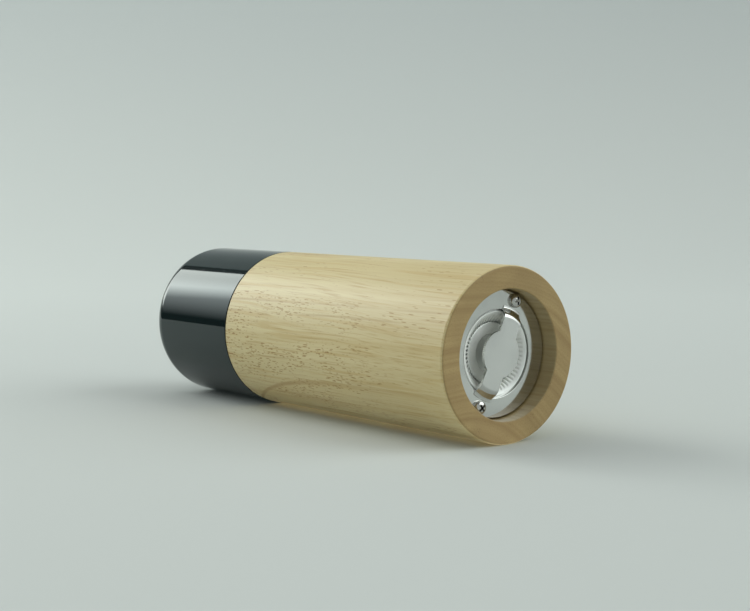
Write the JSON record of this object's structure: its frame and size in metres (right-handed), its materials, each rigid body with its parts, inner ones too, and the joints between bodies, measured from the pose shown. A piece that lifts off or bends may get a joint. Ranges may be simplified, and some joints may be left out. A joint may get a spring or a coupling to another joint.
{
  "type": "pepper mill",
  "caption": "Upright hand mill: turned wooden body with a peppercorn chamber, gloss black turning cap and steel grinding mechanism recessed in the base.",
  "frame": {"origin": "centre of the wooden body's base, where the mill stands", "axes": "+Z along the mill's axis from the base to the cap; +X through the two base screws and along the outlet strap"},
  "size_m": [0.058, 0.058, 0.187],
  "materials": {
    "rubberwood": "clear satin oil over pale straight-grained hardwood",
    "mirror_steel": "mirror polished stainless steel",
    "screw_steel": "nickel plated",
    "pressed_steel": "pressed stainless steel, satin",
    "ring_steel": "sintered steel, fine matt, plated",
    "cone_steel": "sintered steel, fine matt, plated",
    "spring_steel": "drawn wire",
    "nut_steel": "turned stainless steel, satin",
    "shaft_aluminium": "extruded square bar, satin",
    "brass": "turned brass",
    "nylon": "moulded nylon, natural",
    "black_gloss": "black gloss lacquer",
    "black_core": "moulded, matt black",
    "black_washer": "matt black",
    "black_rubber": "matt black rubber"
  },
  "bodies": {
    "body": {"wood_body": "rubberwood", "base_plate": "mirror_steel", "base_screws": "screw_steel", "ring_housing": "pressed_steel", "grinding_ring": "ring_steel", "outlet_strap": "mirror_steel", "bearing_bridge": "pressed_steel", "bridge_rivets": "screw_steel", "bridge_bush": "nylon", "pressure_spring": "spring_steel", "neck_collar": "nylon", "collar_pins": "screw_steel"},
    "slip_ring": {"slip_washer": "black_washer"},
    "cap": {"cap_shell": "black_gloss", "cap_core": "black_core", "turn_plate": "pressed_steel", "turn_plate_screws": "screw_steel", "spigot_ring": "black_rubber", "top_ferrule": "mirror_steel"},
    "nut": {"adjuster_nut": "nut_steel", "nut_insert": "brass", "nut_washer": "black_washer"},
    "thrust_ring": {"thrust_washer": "pressed_steel"},
    "drive": {"drive_shaft": "shaft_aluminium", "grinding_cone": "cone_steel", "cone_washer": "pressed_steel", "cone_screw": "screw_steel"}
  },
  "joints": [
    {"name": "cap_lift", "type": "slide", "parent": "body", "child": "slip_ring", "axis": [0, 0, 1], "range_m": [0, 0.05]},
    {"name": "cap_turn", "type": "hinge", "parent": "slip_ring", "child": "cap", "pos_m": [0, 0, 0.1225], "axis": [0, 0, 1], "continuous": true},
    {"name": "nut_turn", "type": "hinge", "parent": "cap", "child": "nut", "pos_m": [0, 0, 0.1782], "axis": [0, 0, 1], "range_deg": [0, 541]},
    {"name": "rotor_lift", "type": "slide", "parent": "body", "child": "thrust_ring", "axis": [0, 0, 1], "range_m": [-0.0012, 0], "deforming": ["pressure_spring"]},
    {"name": "shaft_turn", "type": "hinge", "parent": "thrust_ring", "child": "drive", "pos_m": [0, 0, 0.0188], "axis": [0, 0, 1], "continuous": true}
  ],
  "couplings": [
    {"joint": "shaft_turn", "follows": "cap_turn", "ratio": 1},
    {"joint": "nut_turn", "follows": "rotor_lift", "rad_per_m": -7854}
  ]
}
